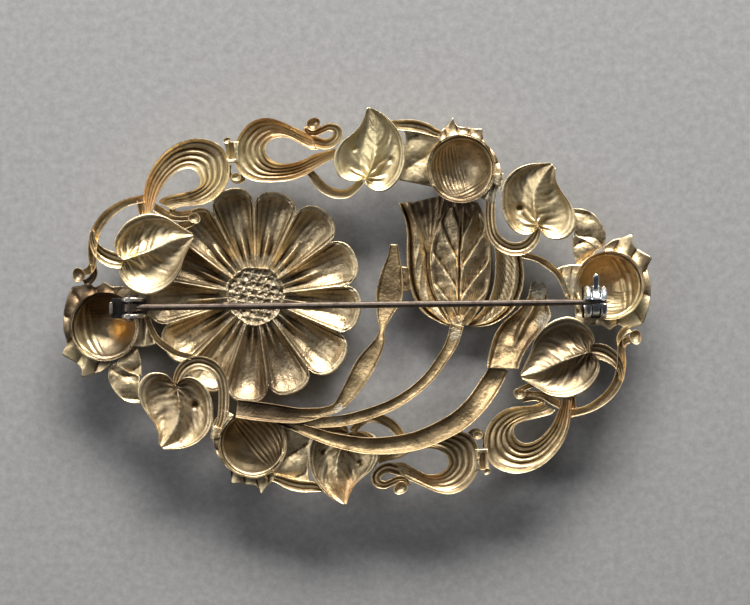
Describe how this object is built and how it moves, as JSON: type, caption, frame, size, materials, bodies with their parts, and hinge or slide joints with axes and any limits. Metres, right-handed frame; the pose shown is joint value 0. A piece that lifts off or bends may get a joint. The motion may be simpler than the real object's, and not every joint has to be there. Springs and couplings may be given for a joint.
{
  "type": "brooch",
  "caption": "Oval openwork flower brooch, struck wreath with daisy and tulip sprays, hinged pin and rotating safety catch on its back.",
  "frame": {"origin": "on the table the brooch lies on, under the middle of the wreath's outline", "axes": "+X along the pin from the hinge to the catch, +Z out of the brooch's back, +Y completes the right-handed frame"},
  "size_m": [0.084, 0.0564, 0.0112],
  "materials": {
    "wreath": "worn antique gilt",
    "daisy_petals": "dull bronze-toned gilt",
    "daisy_boss": "dull, with grey solder",
    "tulip_head": "dull bronze-toned gilt",
    "tulip_stem": "worn antique gilt",
    "bud_stem": "worn antique gilt",
    "bud_sheath": "worn antique gilt",
    "twig_leaf": "worn antique gilt",
    "hinge_bracket": "tarnished",
    "hinge_rivet": "dull",
    "pin_stem": "drawn wire, dull",
    "catch_sleeve": "nickel plate, tarnished low down",
    "catch_barrel": "nickel plate"
  },
  "bodies": {
    "frame": {"wreath": "wreath", "daisy_petals": "daisy_petals", "daisy_boss": "daisy_boss", "tulip_head": "tulip_head", "tulip_stem": "tulip_stem", "bud_stem": "bud_stem", "bud_sheath": "bud_sheath", "twig_leaf": "twig_leaf", "hinge_bracket": "hinge_bracket", "hinge_rivet": "hinge_rivet", "catch_sleeve": "catch_sleeve"},
    "pin": {"pin_stem": "pin_stem"},
    "barrel": {"catch_barrel": "catch_barrel"}
  },
  "joints": [
    {"name": "pin_hinge", "type": "hinge", "parent": "frame", "child": "pin", "pos_m": [-0.0321, 0.00015, 0.0089], "axis": [0, -1, 0], "range_deg": [0, 110]},
    {"name": "catch_turn", "type": "hinge", "parent": "frame", "child": "barrel", "pos_m": [0.03375, 0.00015, 0.0089], "axis": [1, 0, 0], "range_deg": [0, 100]}
  ]
}
